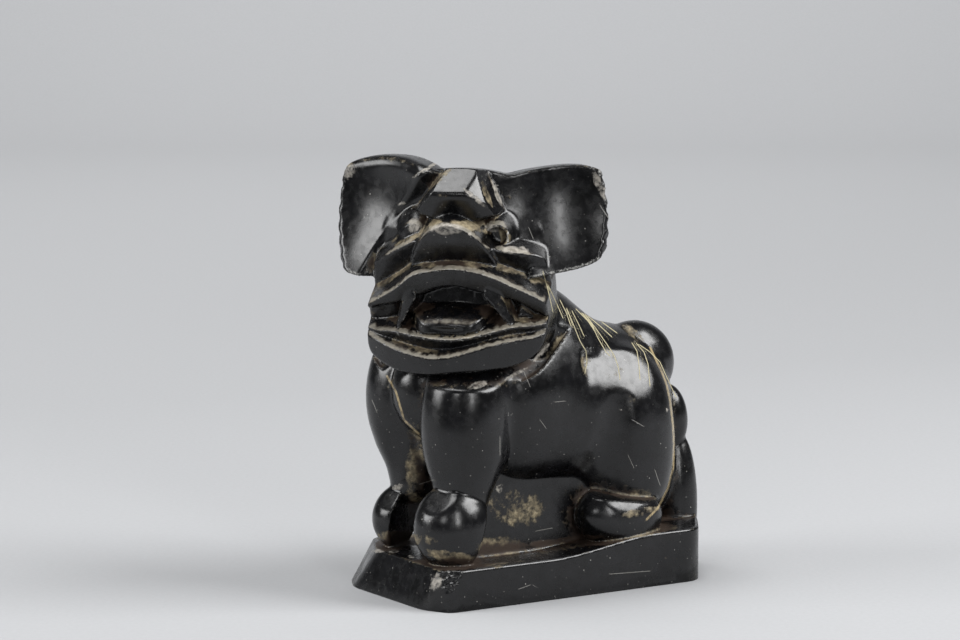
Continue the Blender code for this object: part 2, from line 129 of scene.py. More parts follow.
# Rounded masses: centre, radii, pitch in degrees, softness of the join to what is there.
TRUNK = (
    ((1.0, 0.0, 19.4), (17.0, 12.6, 13.4), 8.0, 1.0),
    ((-10.0, 0.5, 20.6), (12.0, 12.3, 14.5), 0.0, 5.0),
    ((11.5, 0.0, 18.0), (10.8, 11.2, 12.8), 10.0, 5.0),
    ((-5.0, 0.0, 28.6), (11.5, 10.0, 11.0), 25.0, 6.0),
    ((11.5, -0.5, 9.0), (11.2, 10.4, 13.5), 0.0, 3.0),
)
SHOULDER = ((-10.0, 3.2, 23.0), (9.0, 9.6, 9.5), 0.0, 3.0)
HAUNCH = ((10.6, 8.2, 15.0), (7.6, 5.5, 13.2), -9.0, 2.6)
THIGH_VALLEY = ((5.4, 14.6, 20.5), (3.4, 12.9, 8.0), (1.4, 2.6), 2.6)
HIND_FOOT = ((7.4, 10.6, 2.6), (7.6, 4.6, 5.2), 6.0, 0.6)
HIND_FOOT_TOP = (6.0, (0.1, 0.2, 1.0))
UPPER_FORELEGS = (
    ((-19.3, -8.0, 20.1), (7.0, 6.3, 13.0), 4.0, 1.6),
    ((-19.5, 8.3, 22.0), (6.7, 6.3, 11.4), 4.0, 0.9),
)
BREAST = ((-17.8, 1.2, 23.2), (8.2, 6.2, 8.2), 0.0, 0.6)

# Tapered limbs: start, end, radius at each, softness.
WRISTS = (
    ((-19.0, -8.2, 13.6), (-20.2, -8.7, 8.1), (5.2, 4.1), 2.0),
    ((-19.2, 7.8, 13.6), (-19.6, 6.6, 8.1), (4.7, 3.7), 2.0),
)
TAIL_LOBES = (
    ((23.4, -3.6, 1.5), (3.4, 3.2, 12.0), 0.0, 0.8),
    ((22.2, -3.0, 15.8), (2.9, 3.2, 5.4), -6.0, 0.4),
    ((16.1, -2.0, 25.0), (7.1, 4.6, 6.6), 20.0, 0.35),
)
# Paws: place and top, half length and width, point and normal of the flat cut beside it.
PAWS = (
    ((-22.0, -9.0, 10.2), (6.4, 5.5), (-17.6, -12.0, 8.1), (0.93, -0.25, -0.26)),
    ((-20.6, 6.7, 7.9), (5.8, 5.0), (-25.9, 4.0, 1.3), (0.54, -0.84, -0.175)),
)

# Lines across the face, one height for each station of s.
STATIONS = (-16.0, -12.5, -9.0, -6.0, -3.0, 0.0, 3.0, 6.0, 9.0, 12.5, 16.0)
CHEEK_LINE = (42.8, 44.9, 46.9, 48.4, 49.2, 49.6, 48.8, 47.3, 46.7, 45.9, 44.1)
LIP_LINE = (36.6, 38.7, 40.8, 43.1, 43.9, 44.3, 44.0, 43.1, 41.6, 39.6, 37.0)
MOUTH_TOP = (35.6, 37.0, 37.7, 38.7, 40.0, 40.6, 39.9, 39.1, 38.5, 36.4, 34.1)
MOUTH_FLOOR = (34.2, 33.8, 33.9, 33.5, 33.2, 33.1, 33.5, 34.2, 34.7, 34.8, 35.6)
LOWER_LIP = (34.8, 34.0, 34.1, 33.7, 33.4, 33.3, 33.7, 34.4, 35.1, 35.2, 36.0)
BEARD_LINE = (34.2, 33.1, 31.9, 31.2, 30.8, 31.1, 31.9, 32.8, 33.4, 33.9, 35.2)
CHIN_LINE = (31.6, 28.9, 27.4, 27.1, 27.1, 27.4, 27.6, 27.9, 28.3, 30.2, 35.6)

# The head's half width and its depth behind the middle, one for each level of z.
LEVELS = (25.6, 29.6, 35.6, 41.6, 46.6, 51.6, 57.6, 62.0)
HEAD_HALF_WIDTH = (13.8, 14.0, 14.1, 13.7, 12.8, 11.2, 9.0, 7.0)
HEAD_BACK = (10.5, 12.0, 13.0, 13.2, 12.6, 11.4, 9.2, 6.5)
HEAD_MIDDLE = (-14.9, -1.0, 0.0)

# Carved steps of the face: level, rise, width of the ledge, fall of the face below it, softness.
CHEEK_STEP = (-2.7, 2.6, 1.4, 0.75, 0.25)
LIP_STEP = (0.2, 2.7, 1.1, 0.75, 0.25)
LOWER_LIP_STEP = (0.3, 2.1, 0.9, 0.9, 0.25)
BEARD_STEP = (0.9, 2.4, 1.2, 0.32, 0.2)

# Fangs: root, tip, height over the face's ground, half width at the root.
FANGS = (
    ((-6.6, 38.9), (-8.6, 34.1), 1.4, 0.85),
    ((6.0, 39.4), (8.6, 35.0), 1.5, 1.1),
)
EYE_PIT_PLACE = (6.1, 47.6)

# Flats rubbed bright by handling: point and normal, middle and half length along the flank,
# middle and half height, how soft their ends and their rim are.
FLANK_FLAT = ((5.6, -10.95, 25.85), (0.0, -0.86, 0.5), (6.6, 6.8), (24.4, 4.9), (1.5, 2.5), 0.6)
FOOT_FLAT = ((6.0, -13.6, 6.0), (-0.1, -0.80, 0.58), (6.0, 5.0), (4.0, 3.2), (0.5, 0.5), 0.2)
# Corners worn blunt where the lips and the tail's heel stand out furthest: point and direction.
BLUNT_CORNERS = (
    ((-30.22, 0.0, 0.0), (-1.0, 0.0, 0.0)),
    ((0.0, -16.07, 0.0), (0.0, -1.0, 0.0)),
    ((26.74, 0.0, 0.0), (1.0, 0.0, 0.0)),
)
# The plane that the plinth's near front corner broke along.
PLINTH_CHIP = ((-27.6, -13.6, -4.2), (-0.62, -0.68, 0.38))

# Ears: side, middle, half sizes, inner edge's point and normal, outer end, dip at the root,
# tilt of the outer end upwards, height and place of the arched top, bevel of the broken end.
EARS = (
    (-1.0, (6.0, 50.0), (11.6, 9.4), (5.8, 50.2), (-0.80, -0.60), 16.9, 0.0, 0.0, (59.3, 7.5), 0.9),
    (1.0, (8.2, 49.6), (11.0, 8.0), (3.4, 49.0), (-0.91, -0.41), 18.6, 2.2, 0.13, (60.5, 9.0), 0.3),
)


def mirrored(centre, side):
    """The same place on the other flank."""
    return (centre[0], centre[1] * side, centre[2])


def plinth(p):
    """The low block underfoot: front leaning back, rear corners cut, top rising to the rear."""
    half = np.array(PLINTH_SIZE) / 2.0
    edge = PLINTH_EDGE_RADIUS
    cut = PLINTH_CORNER_CUT
    lean = np.tan(np.radians(PLINTH_FRONT_LEAN_DEG))
    z = p[:, 2] + PLINTH_REAR
    q = np.stack([p[:, 0] + SETBACK, p[:, 1], z], 1)
    front = PLINTH_FRONT
    top = front + (PLINTH_REAR - front) * ramp(q[:, 0], -0.25 * half[0], 0.5 * half[0])
    d = block(q, (0.0, 0.0, 0.0), (half[0], half[1], 4.0 * PLINTH_REAR), 2.0 * edge)
    d = both(d, plane(q, (-half[0] + 1.2, -half[1] + 2.6, 0.0), (-1.0, -0.55, 0.0)), 1.0)
    d = both(d, plane(q, (half[0], -half[1] + cut, 0.0), (0.83, -0.56, 0.0)), 2.0)
    d = both(d, plane(q, (half[0], half[1] - 0.5 * cut, 0.0), (0.7, 0.7, 0.0)), 2.0)
    d = both(d, plane(q, (-half[0], 0.0, 0.0), (-1.0, 0.0, lean)), 0.8)
    d = both(d, plane(q, (-half[0] + 1.4, half[1] - 3.1, 0.0), (-0.85, 0.45, 0.55)), 0.8)
    return both(d, z - top, edge)


def trunk(p):
    """Barrel, chest, rump, withers, haunches and the upper forelegs."""
    d = mass(p, *TRUNK[0][:3])
    for centre, radii, pitch, softness in TRUNK[1:]:
        d = blend(d, mass(p, centre, radii, pitch), softness)
    for side in (-1.0, 1.0):
        for centre, radii, pitch, softness in (SHOULDER, HAUNCH):
            d = blend(d, mass(p, mirrored(centre, side), radii, pitch), softness)
    for side in (-1.0, 1.0):
        start, end, radii, softness = THIGH_VALLEY
        d = both(d, -limb(p, mirrored(start, side), mirrored(end, side), radii), softness)
    for centre, radii, pitch, softness in UPPER_FORELEGS:
        d = blend(d, mass(p, centre, radii, pitch), softness)
    for start, end, radii, softness in WRISTS:
        d = blend(d, limb(p, start, end, radii), softness)
    centre, radii, pitch, softness = BREAST
    return blend(d, mass(p, centre, radii, pitch), softness)


def feet(p, d):
    """Paws with a flat worn place on top, tail lobes one above the other."""
    sole = PLINTH_FRONT - PLINTH_REAR - 1.1
    for (x, y, top), (length, width), point, normal in PAWS:
        centre = (x, y, 0.5 * (top + sole))
        paw = mass(p, centre, (length, width, 0.5 * (top - sole)), 0.0)
        paw = both(paw, plane(p, (x - 3.4, y - 1.2, top - 2.0), (-0.62, -0.30, 0.72)), 0.3)
        d = blend(d, both(paw, plane(p, point, normal), 0.4), 0.4)
    for side in (-1.0, 1.0):
        centre, radii, pitch, softness = HIND_FOOT
        foot = mass(p, mirrored(centre, side), radii, pitch)
        height, slope = HIND_FOOT_TOP
        foot = both(foot, plane(p, (centre[0], centre[1] * side, height), mirrored(slope, side)), 0.4)
        d = blend(d, foot, softness)
    for centre, radii, pitch, softness in TAIL_LOBES:
        d = blend(d, mass(p, centre, radii, pitch), softness)
    return d


def step(depth, base, sizes):
    """A ledge that rises outwards below its line, then a face falling back."""
    level, rise, ledge, fall, softness = sizes
    return base + level + blend(rise / ledge * depth, rise - fall * (depth - ledge), softness)


def ridge(s, z, start, end):
    """Distance across a straight ridge and the share run along it."""
    a = np.array(start)
    run = np.array(end) - a
    t = np.clip(((s - a[0]) * run[0] + (z - a[1]) * run[1]) / (run @ run), 0.0, 1.0)
    return np.hypot(s - a[0] - t * run[0], z - a[1] - t * run[1]), t


def proud(first, second, softness):
    """The higher of two levels, with the corner between them eased."""
    return -blend(-first, -second, softness)


def muzzle(s, z, base):
    """Forehead boss, cheeks, nose and upper lip, each a step over the one behind."""
    side = np.abs(s - 0.6)
    level = base - 5.2 + 1.6 * ramp(52.0 - z, 0.0, 4.0)
    lid = np.hypot(np.abs(s + 0.4) - 6.5, 0.9 * (z - 47.6))
    level = proud(level, base - 1.8 - 1.6 * np.maximum(lid - 1.7, 0.0), 0.5)
    flanks = both(0.60 * (z - 51.6) - 0.80 * (s + 6.9), 0.43 * (z - 52.9) + 0.90 * (s - 6.4), 2.0)
    boss = blend(-6.0 * flanks, 7.6 - 0.62 * np.maximum(54.6 - z, 0.0), 0.4)
    boss = blend(boss, 7.8 - 1.10 * np.maximum(z - 54.2, 0.0), 0.25)
    right_facet = 0.65 * (s - 3.9) + 0.76 * (z - 53.9)
    boss = blend(boss, 7.2 - 1.0 * np.maximum(right_facet + 0.5, 0.0), 0.25) + base - 5.2
    boss = boss - 8.0 * ramp(50.3 + 0.03 * side**2 - z, 0.0, 0.6)
    level = proud(level, boss, 0.3)
    line = through(s, STATIONS, CHEEK_LINE)
    level = proud(level, step(line - z, base, CHEEK_STEP), 0.3)
    dome = 1.0 - (np.abs(s + 0.2) / 6.7) ** 1.8 - np.abs(np.maximum(z - 43.2, 0.0) / 8.7) ** 1.6
    nose = base - 1.2 + blend(17.0 * dome, 5.6 - 0.75 * (50.0 - z), 0.15)
    level = proud(level, nose, 0.2)
    line = through(s, STATIONS, LIP_LINE)
    return proud(level, step(line - z, base, LIP_STEP), 0.25)


def mouth(s, z, base, level):
    """The open mouth with tongue, a fang each side and a corner tooth."""
    top = through(s, STATIONS, MOUTH_TOP)
    inside = np.minimum(top - z, z - through(s, STATIONS, MOUTH_FLOOR))
    deep = 3.4 - 2.0 * ramp(np.abs(s + 0.2), 7.6, 9.4)
    hollow = proud(level - deep * ramp(inside, 0.0, 0.55), base - 2.6, 0.2)
    dome = 1.0 - (np.abs(s + 0.6) / 6.2) ** 2.4
    depth = np.minimum(37.2 - 0.02 * (s + 0.6) ** 2 - z, 3.2 * dome)
    swell = 3.6 - 3.6 * np.clip(1.0 - depth / 2.8, 0.0, 1.6) ** 2 - 1.2 * np.maximum(depth - 2.8, 0.0)
    hollow = proud(hollow, base - 1.6 + blend(swell, 6.0 * dome, 0.3), 0.2)
    tooth = np.minimum(z - 34.8, 38.1 - z - np.maximum(s - 9.8, 0.0))
    tooth = np.minimum(tooth, s - 8.7 - 0.25 * (z - 34.8))
    hollow = proud(hollow, base - 1.6 + np.minimum(2.2 * tooth, 1.7), 0.2)
    level = np.where(inside > 0.0, hollow, level)
    for start, end, height, width in FANGS:
        across, along = ridge(s, z, start, end)
        fang = base + height - 5.0 * np.maximum(across - width * (1.0 - 0.7 * along), 0.0)
        level = proud(level, fang, 0.2)
    return level


def face(s, z):
    """How far the carved face stands out at each place."""
    base = 10.4 - 0.030 * s * s
    level = mouth(s, z, base, muzzle(s, z, base))
    line = through(s, STATIONS, LOWER_LIP)
    level = proud(level, step(line - z, base, LOWER_LIP_STEP), 0.25)
    line = through(s, STATIONS, BEARD_LINE)
    level = proud(level, step(line - z, base, BEARD_STEP), 0.25)
    radius = EYE_PIT_DIAMETER / 2.0
    pit = ramp(radius + 0.2 - np.hypot(s - EYE_PIT_PLACE[0], z - EYE_PIT_PLACE[1]), 0.0, 0.4)
    return level - EYE_PIT_DEPTH * pit


def head_frame(p):
    """Places in the head's own frame."""
    turn = np.radians(HEAD_TURN_DEG)
    q = p - np.array(HEAD_MIDDLE)
    s = q @ np.array([np.sin(turn), -np.cos(turn), 0.0])
    f = q @ np.array([-np.cos(turn), -np.sin(turn), 0.0])
    return s, f, q[:, 2]


def jaw(s, z):
    """The outline of the head seen from the front, lower part."""
    chin = through(s, STATIONS, CHIN_LINE)
    return both(chin - z, np.abs(s) - through(z, LEVELS, HEAD_HALF_WIDTH), 1.5)


def head(s, f, z):
    """The skull block with the face carved on its front."""
    wide = through(z, LEVELS, HEAD_HALF_WIDTH)
    deep = through(z, LEVELS, HEAD_BACK)
    behind = np.maximum(-f, 0.0) / deep
    ahead = np.maximum(f, 0.0) / (deep + 7.0)
    round_off = (np.abs(s / wide) ** 2.6 + behind**2.3 + ahead**3.2) ** (1.0 / 2.6)
    d = (round_off - 1.0) * 9.0
    d = both(d, jaw(s, z), 0.5)
    top = 57.4 + 0.09 * f - 0.022 * (s - 0.5) ** 2 - 0.05 * np.maximum(-f, 0.0) ** 1.6
    d = both(d, z - top, 1.2)
    return both(d, (f - face(s, z)) * 0.72, 0.25)


def ear(s, f, z, side, middle, half, edge, normal, end, dip, tilt, arch, broken):
    """A slab swept back from the head, dished in front, its outer end broken off."""
    sweep = np.radians(EAR_SWEEP_DEG)
    out = (s - 6.0 * side) * side
    back = f - 7.2
    u = out * np.cos(sweep) - back * np.sin(sweep)
    w = out * np.sin(sweep) + back * np.cos(sweep)
    upright = z - tilt * (u - middle[0])
    round_off = np.abs((u - middle[0]) / half[0]) ** 3.2 + np.abs((upright - middle[1]) / half[1]) ** 3.2
    d = (round_off ** (1.0 / 3.2) - 1.0) * min(half)
    leaning = w + 0.16 * (z - 50.0)
    cup = np.clip(1.0 - ((u - 9.0) / 10.0) ** 2 - ((z - 51.0) / 12.0) ** 2, 0.0, 1.0)
    front = leaning - 0.8 + 2.8 * cup + dip * np.clip(1.0 - (u - 1.0) / 6.0, 0.0, 1.5) ** 2
    inner = (u - edge[0]) * normal[0] + (z - edge[1]) * normal[1] - 0.02 * (z - edge[1]) ** 2
    d = both(d, inner + 0.8 * np.minimum(front, 0.0), 0.3)
    outer = u - end + 0.012 * (z - 48.0) ** 2 + 0.4 * ragged(0.8 * z, 1.5 * w) + 0.2
    d = both(d, outer, 0.4)
    d = both(d, 0.7 * (outer + w) + broken, 0.5)
    arched = both(z - arch[0] + 0.022 * (u - arch[1]) ** 2, front, 2.2)
    d = both(d, arched, 0.4)
    return both(d, -leaning - EAR_THICKNESS + 0.02 * (u - 6.0) ** 2, 2.0)


def ragged(along, across):
    """A rough broken line, between nothing and about one."""
    coarse = np.sin(1.7 * along + 1.3 * np.sin(0.9 * across + 2.0))
    fine = np.sin(4.6 * along + 2.3 * across + 1.1 * np.sin(2.9 * along))
    return 0.6 * coarse**2 + 0.4 * fine**2


def rubbed(p, d):
    """The form with its two small flats and its furthest corners worn blunt."""
    for point, normal, (x, half_length), (z, half_height), ends, rim in (FLANK_FLAT, FOOT_FLAT):
        flat = both(-plane(p, point, normal), np.abs(p[:, 0] - x) - half_length, ends[0])
        flat = both(flat, np.abs(p[:, 2] - z) - half_height, ends[1])
        d = both(d, -flat, rim)
    for point, outward in BLUNT_CORNERS:
        d = both(d, plane(p, point, outward), 0.1)
    return d


def chipped_plinth(p):
    """The plinth with its near front corner broken away."""
    rough = 0.5 * ragged(1.6 * p[:, 2], p[:, 0] - p[:, 1])
    return both(plinth(p), plane(p, *PLINTH_CHIP) + rough, 0.2)


def figure(p):
    """Distance to the whole stone, p in units from the lion's feet."""
    s, f, z = head_frame(p)
    d = trunk(p)
    reach = np.clip(0.3 + 0.65 * (f - 10.8 + 0.085 * s * s), 0.0, 3.0)
    collar = jaw(s, z) - reach
    d = both(d, -0.7 * both(collar, 6.0 - 0.036 * s * s - f, 0.4), 0.3)
    d = feet(p, d)
    d = np.minimum(d, block(p, (-1.6, 0.0, 2.0), (16.4, 8.0, 11.0), 1.0))
    d = blend(d, head(s, f, z), 0.5)
    for values in EARS:
        d = blend(d, ear(s, f, z, *values), 0.4)
    return blend(rubbed(p, d), chipped_plinth(p), 0.5)


# Graver lines, scratches, worn places and painted highlights, given where the photograph shows them, in its
# pixels.
# The photograph's own camera carries them onto the stone and takes the picture at the end.
PHOTO_SIZE = (960.0, 640.0)
SENSOR_WIDTH = 36.0
CAMERA_TURN = np.radians(-32.5)
CAMERA_RISE = np.radians(7.75)
CAMERA_PLACE = Vector((-0.322794, -0.490910, 0.121077))
CAMERA_LENS = 142.4

# Graver lines of the mane and back, a hair's width and filled with tan dust.
MANE_LINES = (
    ((567, 309), (574, 326), (580, 341), (586, 351), (587, 362), (585, 373)),
    ((572, 311), (579, 325), (584, 336)),
    ((582, 313), (592, 325), (598, 338), (606, 352), (610, 356)),
    ((585, 314), (597, 330), (606, 343), (614, 355), (618, 366), (620, 379)),
    ((588, 316), (600, 326), (612, 337)),
    ((598, 319), (606, 325), (617, 333)),
    ((632, 343), (637, 351), (639, 365), (640, 379)),
    ((636, 343), (644, 352), (648, 364), (650, 386)),
    ((640, 345), (650, 352), (660, 362), (668, 380), (676, 397)),
    ((543, 272), (548, 290), (553, 312)),
    ((548, 285), (556, 302), (563, 318)),
    ((576, 309), (588, 321), (594, 330)),
    ((560, 300), (566, 312), (571, 326)),
)
# The groove behind the haunch and the fold down the breast, packed with tan dust.
DUST_LINES = (
    ((650, 347), (656, 360), (662, 372), (667, 386), (670, 400), (673, 425), (674, 445), (673, 468),
     (668, 488), (658, 508), (646, 520)),
    ((387, 376), (396, 392), (404, 420), (419, 434)),
)
# Fine scratches from handling.
SCRATCHES = (
    ((555, 402), (565, 401)), ((633, 420), (643, 426)), ((519, 589), (530, 585)),
    ((536, 531), (552, 528)), ((610, 574), (650, 571)),
    ((500, 437), (500, 455)), ((540, 420), (546, 428)), ((524, 372), (530, 386)), ((420, 484), (433, 480)),
    ((600, 205), (611, 222)), ((529, 228), (533, 238)), ((372, 400), (377, 412)),
    ((655, 470), (660, 485)), ((628, 455), (634, 468)),
)


def photo_place(points):
    """Where each place falls in the photograph, in its pixels, and the direction to the camera."""
    back = np.array([np.sin(CAMERA_TURN) * np.cos(CAMERA_RISE), -np.cos(CAMERA_TURN) * np.cos(CAMERA_RISE),
                     np.sin(CAMERA_RISE)])
    right = np.array([np.cos(CAMERA_TURN), np.sin(CAMERA_TURN), 0.0])
    ray = points - np.array(CAMERA_PLACE)
    reach = CAMERA_LENS / SENSOR_WIDTH * PHOTO_SIZE[0] / -(ray @ back)
    across = 0.5 * PHOTO_SIZE[0] + reach * (ray @ right)
    down = 0.5 * PHOTO_SIZE[1] - reach * (ray @ np.cross(back, right))
    return np.stack([across, down], 1), back


def strokes(seen, lines):
    """Signed distance across the nearest stroke, and a share that fades past its ends."""
    across = np.full(len(seen), 50.0)
    share = np.zeros(len(seen))
    for line in lines:
        for start, end in zip(np.array(line[:-1], float), np.array(line[1:], float)):
            run = end - start
            length = np.hypot(*run)
            along = (seen - start) @ run / length
            off = (seen - start) @ np.array([run[1], -run[0]]) / length
            past = np.maximum(np.maximum(-along, along - length), 0.0)
            nearer = np.hypot(off, past) < np.abs(across)
            across = np.where(nearer, np.where(off < 0.0, -1.0, 1.0) * np.hypot(off, past), across)
            share = np.where(nearer, np.clip(1.4 - past, 0.0, 1.0), share)
    return across, np.where(np.abs(across) < 4.0, share, 0.0)


def patches(seen, spots):
    """The sum of soft ovals: middle, half sizes and turn in degrees, in photograph pixels."""
    total = np.zeros(len(seen))
    for x, y, wide, high, turn in spots:
        angle = np.radians(turn)
        q = seen - np.array([x, y])
        u = q @ np.array([np.cos(angle), np.sin(angle)]) / wide
        v = q @ np.array([-np.sin(angle), np.cos(angle)]) / high
        total += np.clip(1.6 - 0.9 * (u * u + v * v), 0.0, 1.0)
    return np.clip(total, 0.0, 1.0)


# Places where the stone is chipped or rubbed pale, and some that are painted highlights: the nose's top, the
# forehead's two diagonal strips, the collar's rim and the far paw's facet.
PALE_AND_HIGHLIT_PLACES = (
    (446, 229, 18, 6, 0), (414, 225, 6, 8, 15), (492, 228, 8, 4, 10), (475, 198, 15, 2.6, 40),
    (497, 193, 15, 2.6, 70), (349, 172, 9, 6, -50), (600, 186, 16, 4, 65), (515, 250, 14, 4, 0),
    (478, 385, 10, 3.5, -18), (378, 551, 7, 2, 0), (393, 551, 6, 2.2, 0), (411, 557, 3.5, 2.2, 20),
    (352, 560, 15, 6, -58), (499, 489, 3.4, 4.6, 0), (667, 410, 1.2, 2.3, 0), (621, 410, 1.5, 1.3, 0),
    (436, 582, 6, 9, 20), (403, 203, 3, 2, 0), (428, 168, 20, 1.8, -32), (400, 205, 3, 2, 0),
    (470, 234, 2, 2, 0), (398, 487, 6, 3, -10), (516, 374, 14, 2.2, -28), (541, 353, 14, 2.2, -48),
)
# Places where dust has settled or soaked in.
DUSTY_PLACES = (
    (405, 538, 30, 6, 6), (450, 556, 26, 5, 10), (500, 545, 22, 9, -4), (560, 541, 34, 3, -6),
    (632, 333, 15, 5, 38), (516, 508, 26, 17, 6), (415, 470, 9, 40, 0), (640, 512, 20, 4, -12),
    (440, 178, 14, 3, -42), (486, 192, 3, 15, -22), (408, 240, 14, 3, -25), (505, 236, 5, 9, -20),
    (467, 226, 22, 3, 18), (431, 226, 12, 3, -30),
)
# Rounded faces that handling keeps clean.
CLEAN_PLACES = (
    (456, 212, 30, 8, 0), (450, 246, 28, 10, 0), (456, 298, 30, 9, 0), (452, 345, 26, 5, 0),
    (450, 372, 60, 9, 0), (560, 420, 44, 34, 0), (380, 330, 12, 12, 0), (493, 241, 7, 7, 0),
    (634, 478, 11, 6, 0), (395, 262, 22, 5, -28), (450, 326, 22, 8, 0), (585, 320, 40, 14, 28),
)


# The skin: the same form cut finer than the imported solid, as one closed mesh of even faces.
# Depths at a regular grid fill a volume, and its surface is where the depth is nil.
def to_carver(points):
    """Metres in the object's frame to millimetres from the lion's feet."""
    return points / MM - np.array([SETBACK, 0.0, PLINTH_REAR])


def grid_depths(axes, step_over=4):
    """Depth at every crossing of the axes, worked out closely only near the surface."""
    crossings = np.stack(np.meshgrid(*axes, indexing="ij"), -1)
    coarse = crossings[::step_over, ::step_over, ::step_over]
    values = figure(to_carver(coarse.reshape(-1, 3))).reshape(coarse.shape[:3])
    for i in range(3):
        values = np.moveaxis(values, i, 0)
        count = step_over * (len(values) - 1) + 1
        place = np.arange(count) / step_over
        low = np.minimum(place.astype(int), len(values) - 2)
        share = (place - low).reshape([-1] + [1] * (values.ndim - 1))
        values = np.moveaxis(values[low] * (1.0 - share) + values[low + 1] * share, 0, i)
    near = np.abs(values) < 3.6 * (axes[0][1] - axes[0][0]) / MM + 0.35
    values[near] = figure(to_carver(crossings[near]))
    return values


def add_node(tree, node_type, inputs, **settings):
    """Add a node, set its sockets from values or other nodes' sockets, and return it."""
    node = tree.nodes.new(node_type)
    for name, value in settings.items():
        setattr(node, name, value)
    for key, value in inputs.items():
        if isinstance(value, bpy.types.NodeSocket):
            tree.links.new(value, node.inputs[key])
        else:
            node.inputs[key].default_value = value
    return node


def skin_nodes(axes):
    """Nodes that fill a volume from the stored depths and skin it where the depth is nil."""
    tree = bpy.data.node_groups.new("stone_skin", "GeometryNodeTree")
    tree.interface.new_socket("Geometry", in_out="INPUT", socket_type="NodeSocketGeometry")
    tree.interface.new_socket("Geometry", in_out="OUTPUT", socket_type="NodeSocketGeometry")
    spacing = float(axes[0][1] - axes[0][0])
    low = [float(axis[0]) for axis in axes]
    high = [float(axis[-1]) for axis in axes]
    counts = [len(axis) for axis in axes]
    store = add_node(tree, "NodeGroupInput", {})
    place = add_node(tree, "GeometryNodeInputPosition", {})
    away = add_node(tree, "ShaderNodeVectorMath", {0: place.outputs[0], 1: low}, operation="SUBTRACT")
    order = add_node(tree, "ShaderNodeVectorMath", {0: away.outputs[0], 1: [spacing] * 3}, operation="DIVIDE")
    whole = add_node(tree, "ShaderNodeVectorMath", {0: order.outputs[0], 1: [0.5] * 3}, operation="ADD")
    whole = add_node(tree, "ShaderNodeVectorMath", {0: whole.outputs[0]}, operation="FLOOR")
    parts = add_node(tree, "ShaderNodeSeparateXYZ", {0: whole.outputs[0]})
    rows = add_node(tree, "FunctionNodeIntegerMath", {0: parts.outputs[0], 1: counts[1], 2: parts.outputs[1]},
                    operation="MULTIPLY_ADD")
    rank = add_node(tree, "FunctionNodeIntegerMath", {0: rows.outputs[0], 1: counts[2], 2: parts.outputs[2]},
                    operation="MULTIPLY_ADD")
    depth = add_node(tree, "GeometryNodeInputNamedAttribute", {0: "depth"}, data_type="FLOAT")
    picked = add_node(tree, "GeometryNodeSampleIndex",
                      {0: store.outputs[0], 1: depth.outputs[0], "Index": rank.outputs[0]},
                      data_type="FLOAT", domain="POINT", clamp=True)
    cube = add_node(tree, "GeometryNodeVolumeCube", {
        "Density": picked.outputs[0], "Min": low, "Max": high,
        "Resolution X": counts[0], "Resolution Y": counts[1], "Resolution Z": counts[2]})
    skin = add_node(tree, "GeometryNodeVolumeToMesh", {0: cube.outputs[0], "Threshold": 0.5})
    add_node(tree, "NodeGroupOutput", {0: skin.outputs[0]})
    return tree


def baked(piece):
    """The piece with its modifiers made part of its own mesh."""
    graph = bpy.context.evaluated_depsgraph_get()
    mesh = bpy.data.meshes.new_from_object(piece.evaluated_get(graph))
    piece.modifiers.clear()
    piece.data = mesh
    return piece


def mesh_arrays(mesh):
    """The mesh's places and normals as arrays."""
    places = np.empty(len(mesh.vertices) * 3)
    mesh.vertices.foreach_get("co", places)
    normals = np.empty(len(mesh.vertices) * 3)
    mesh.vertices.foreach_get("normal", normals)
    return places.reshape(-1, 3), normals.reshape(-1, 3)


def sawn_flat(piece):
    """Cut the piece off at the ground and close it with one flat face."""
    stone = bmesh.new()
    stone.from_mesh(piece.data)
    everything = stone.verts[:] + stone.edges[:] + stone.faces[:]
    cut = bmesh.ops.bisect_plane(stone, geom=everything, plane_co=(0.0, 0.0, 0.0), plane_no=(0.0, 0.0, -1.0),
                                 dist=1e-6, clear_outer=True)
    rim = [part for part in cut["geom_cut"] if isinstance(part, bmesh.types.BMEdge)]
    bmesh.ops.edgeloop_fill(stone, edges=rim)
    bmesh.ops.recalc_face_normals(stone, faces=stone.faces[:])
    stone.to_mesh(piece.data)
    stone.free()


def cut_stone(spacing, triangles):
    """The whole carving skinned at one spacing and thinned to a number of triangles."""
    low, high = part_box("stone_lion")
    axes = []
    for i in range(3):
        start = low[i] - 3.0 * spacing
        count = 4 * int(np.ceil((high[i] + 4.0 * spacing - start) / spacing / 4.0)) + 1
        axes.append(start + spacing * np.arange(count))
    depth = np.clip(0.5 - grid_depths(axes) * MM / spacing / 4.0, 0.0, 1.0)
    mesh = bpy.data.meshes.new("lion_carving")
    mesh.vertices.add(depth.size)
    mesh.attributes.new("depth", "FLOAT", "POINT").data.foreach_set("value", depth.ravel())
    piece = bpy.data.objects.new("lion_carving", mesh)
    bpy.context.scene.collection.objects.link(piece)
    piece.modifiers.new("skin", "NODES").node_group = skin_nodes(axes)
    baked(piece)
    count = sum(len(facet.vertices) - 2 for facet in piece.data.polygons)
    if count > triangles:
        places, normals = mesh_arrays(piece.data)
        seen, toward = photo_place(places)
        off = np.abs(strokes(seen, MANE_LINES + DUST_LINES + SCRATCHES)[0])
        plain = (off > 3.0) & (patches(seen, PALE_AND_HIGHLIT_PLACES + DUSTY_PLACES) < 0.05)
        plain |= normals @ toward < 0.0
        group = piece.vertex_groups.new(name="between_lines")
        group.add(np.flatnonzero(plain).tolist(), 1.0, "REPLACE")
        thin = piece.modifiers.new("thin", "DECIMATE")
        thin.ratio = triangles / count
        thin.vertex_group = "between_lines"
        baked(piece)
    sawn_flat(piece)
    return piece


carving = cut_stone(0.00029, 195000)
